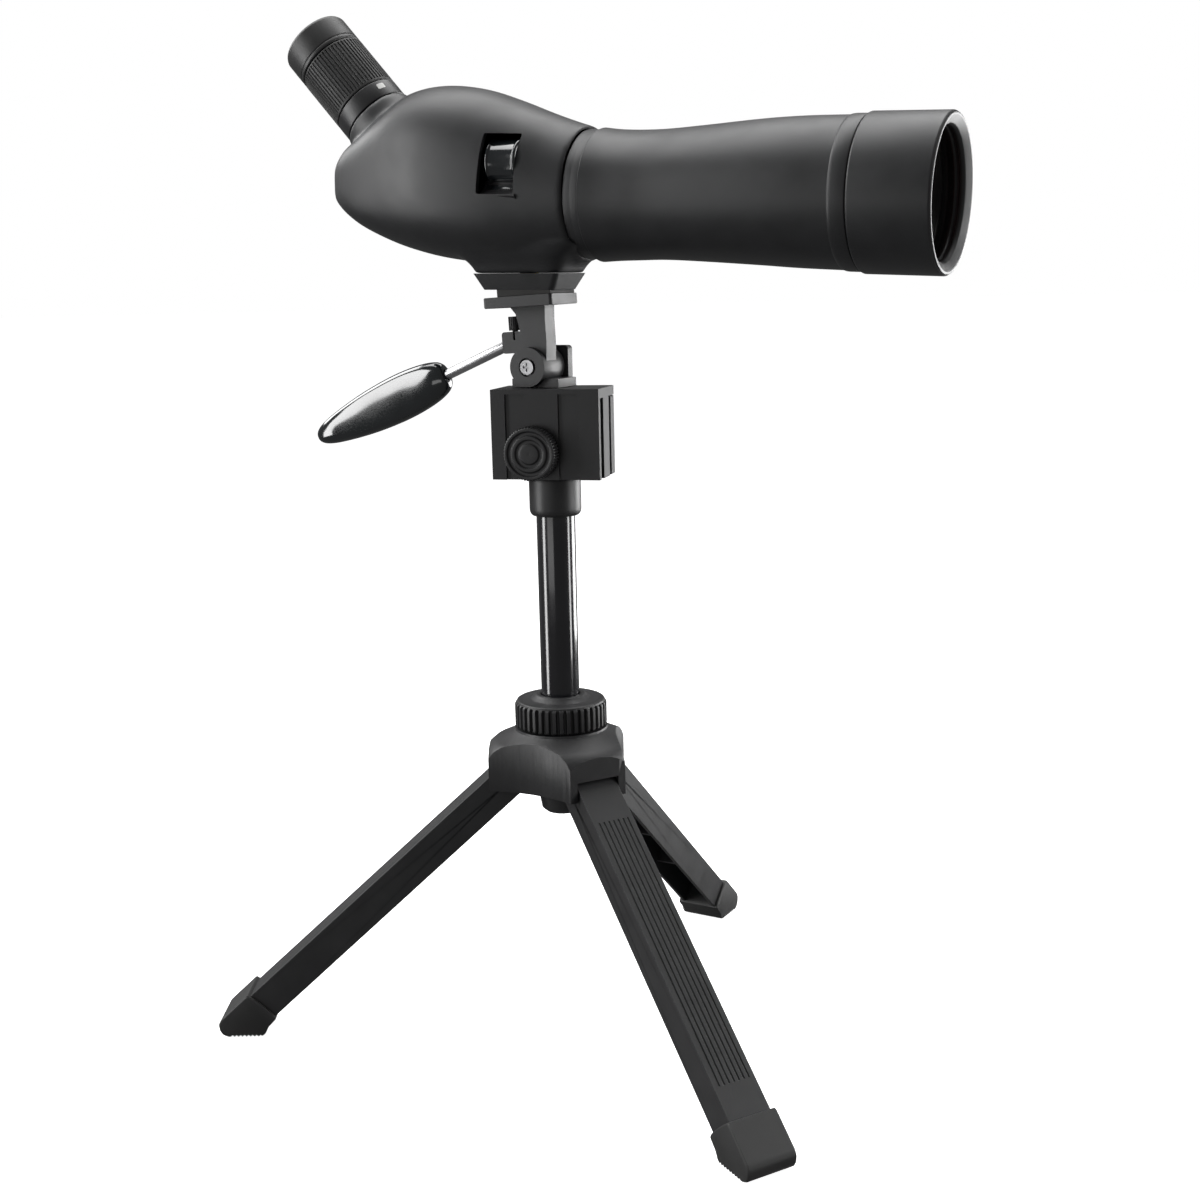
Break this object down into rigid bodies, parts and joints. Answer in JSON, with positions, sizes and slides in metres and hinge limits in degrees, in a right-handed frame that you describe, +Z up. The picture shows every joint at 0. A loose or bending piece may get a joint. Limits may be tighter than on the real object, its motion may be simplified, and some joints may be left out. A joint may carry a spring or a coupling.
{
  "type": "spotting scope",
  "caption": "Angled spotting scope with zoom eyepiece and sliding sunshade, on a pan and tilt head with a window clamp and a folding tabletop tripod.",
  "frame": {"origin": "middle of the footprint box, on the floor under the tripod", "axes": "+X along the optical axis towards the objective, +Z up"},
  "size_m": [0.3992, 0.3202, 0.5609],
  "materials": {
    "scope_shell": "fine matt black soft-touch coat",
    "eyepiece_black": "satin black",
    "zoom_grip": "ribbed black rubber",
    "eyecup_rubber": "smooth black rubber",
    "gloss_black": "polished black",
    "coated_glass": "glass with a reddish coating",
    "optical_glass": "clear optical glass",
    "inner_black": "dull anti-reflection black",
    "brass": "turned brass",
    "bright_steel": "bright plated steel",
    "head_plastic": "moulded satin black",
    "clamp_plastic": "moulded black",
    "pad_rubber": "grippy black rubber",
    "tube_paint": "gloss black enamel",
    "tripod_plastic": "moulded satin black",
    "foot_rubber": "moulded black rubber"
  },
  "bodies": {
    "hub": {"hub": "tripod_plastic", "collet": "tripod_plastic", "hinge_pins": "bright_steel"},
    "leg_left": {"leg_left": "tripod_plastic", "foot_left": "foot_rubber"},
    "leg_front": {"leg_front": "tripod_plastic", "foot_front": "foot_rubber"},
    "leg_rear": {"leg_rear": "tripod_plastic", "foot_rear": "foot_rubber"},
    "column": {"column_tube": "tube_paint", "column_end_cap": "tripod_plastic", "socket_collar": "clamp_plastic", "clamp_body": "clamp_plastic", "clamp_body_pad": "pad_rubber"},
    "locking_ring": {"locking_ring": "tripod_plastic"},
    "clamp_knob": {"clamp_knob": "clamp_plastic", "clamp_screw": "bright_steel"},
    "clamp_jaw": {"clamp_jaw": "clamp_plastic", "jaw_pad": "pad_rubber", "guide_pins": "bright_steel"},
    "pan_bracket": {"tilt_bracket": "head_plastic", "pan_spindle": "head_plastic", "pivot_screw": "bright_steel", "pivot_nut": "bright_steel", "friction_washer": "pad_rubber"},
    "scope": {"tilt_arm": "head_plastic", "platform": "head_plastic", "platform_pad": "pad_rubber", "camera_screw": "bright_steel", "mount_foot": "scope_shell", "foot_insert": "brass", "prism_housing": "scope_shell", "barrel_ring": "scope_shell", "objective_barrel": "scope_shell", "objective_cell": "inner_black", "objective_lens": "coated_glass", "objective_rear_lens": "coated_glass", "light_baffle": "inner_black", "wheel_bracket": "gloss_black", "guide_rod": "bright_steel", "rod_hangers": "inner_black", "prism": "optical_glass", "prism_holder": "inner_black", "eyepiece_collar": "eyepiece_black", "eyepiece_tube": "eyepiece_black", "field_lens": "optical_glass", "eye_lens": "optical_glass"},
    "pan_handle": {"pan_rod": "bright_steel", "pan_grip": "gloss_black"},
    "rod_lock": {"rod_lock_screw": "head_plastic"},
    "focus_wheel": {"focus_wheel": "gloss_black", "focus_screw": "brass"},
    "focus_carriage": {"focus_carriage": "inner_black", "focus_lens": "optical_glass"},
    "zoom_ring": {"zoom_ring": "zoom_grip"},
    "zoom_carrier": {"zoom_carrier": "inner_black", "zoom_lens": "optical_glass"},
    "eyecup": {"eyecup": "eyecup_rubber"},
    "sunshade": {"sunshade": "scope_shell"}
  },
  "joints": [
    {"name": "leg_left_fold", "type": "hinge", "parent": "hub", "child": "leg_left", "pos_m": [-0.04243, -0.05282, 0.1465], "axis": [0.4509, -0.8926, 0], "range_deg": [0, 48]},
    {"name": "leg_front_fold", "type": "hinge", "parent": "hub", "child": "leg_front", "pos_m": [0.00945, -0.05572, 0.1465], "axis": [0.5476, 0.8368, 0], "range_deg": [0, 48]},
    {"name": "leg_rear_fold", "type": "hinge", "parent": "hub", "child": "leg_rear", "pos_m": [-0.01397, -0.00934, 0.1465], "axis": [-0.9984, 0.0558, 0], "range_deg": [0, 48]},
    {"name": "column_slide", "type": "slide", "parent": "hub", "child": "column", "axis": [0, 0, -1], "range_m": [0, 0.095]},
    {"name": "locking_ring_turn", "type": "hinge", "parent": "hub", "child": "locking_ring", "pos_m": [-0.01565, -0.03929, 0.182], "axis": [0, 0, 1], "range_deg": [0, 120]},
    {"name": "clamp_knob_turn", "type": "hinge", "parent": "column", "child": "clamp_knob", "pos_m": [-0.0181, -0.05756, 0.3284], "axis": [-0.225, 0.9744, 0], "range_deg": [0, 1800]},
    {"name": "clamp_jaw_slide", "type": "slide", "parent": "column", "child": "clamp_jaw", "axis": [-0.225, 0.9744, 0], "range_m": [0, 0.01]},
    {"name": "pan_turn", "type": "hinge", "parent": "column", "child": "pan_bracket", "pos_m": [-0.01565, -0.03929, 0.3615], "axis": [0, 0, 1], "continuous": true},
    {"name": "tilt", "type": "hinge", "parent": "pan_bracket", "child": "scope", "pos_m": [-0.02565, -0.03929, 0.3725], "axis": [0, -1, 0], "range_deg": [-30, 30]},
    {"name": "pan_handle_turn", "type": "hinge", "parent": "scope", "child": "pan_handle", "pos_m": [-0.04182, -0.03929, 0.38372], "axis": [-0.9252, 0, -0.3795], "range_deg": [-90, 90]},
    {"name": "rod_lock_turn", "type": "hinge", "parent": "scope", "child": "rod_lock", "pos_m": [-0.03731, -0.03929, 0.39396], "axis": [-0.0489, 0, 0.9988], "range_deg": [0, 180]},
    {"name": "focus_turn", "type": "hinge", "parent": "scope", "child": "focus_wheel", "pos_m": [-0.02201, -0.0648, 0.47623], "axis": [0.9988, 0, -0.0489], "range_deg": [-360, 360]},
    {"name": "focus_slide", "type": "slide", "parent": "scope", "child": "focus_carriage", "axis": [0.9988, 0, -0.0489], "range_m": [-0.0025, 0.0025]},
    {"name": "zoom_turn", "type": "hinge", "parent": "scope", "child": "zoom_ring", "pos_m": [-0.13556, -0.03929, 0.52399], "axis": [-0.6717, 0, 0.7408], "range_deg": [0, 150]},
    {"name": "zoom_slide", "type": "slide", "parent": "scope", "child": "zoom_carrier", "axis": [-0.6717, 0, 0.7408], "range_m": [0, 0.01]},
    {"name": "eyecup_slide", "type": "slide", "parent": "scope", "child": "eyecup", "axis": [-0.6717, 0, 0.7408], "range_m": [0, 0.008]},
    {"name": "sunshade_slide", "type": "slide", "parent": "scope", "child": "sunshade", "axis": [0.9988, 0, -0.0489], "range_m": [0, 0.02]}
  ],
  "couplings": [
    {"joint": "clamp_knob_turn", "follows": "clamp_jaw_slide", "rad_per_m": 3141.5},
    {"joint": "focus_turn", "follows": "focus_slide", "rad_per_m": 2513.2},
    {"joint": "zoom_slide", "follows": "zoom_turn", "m_per_rad": 0.00381}
  ]
}
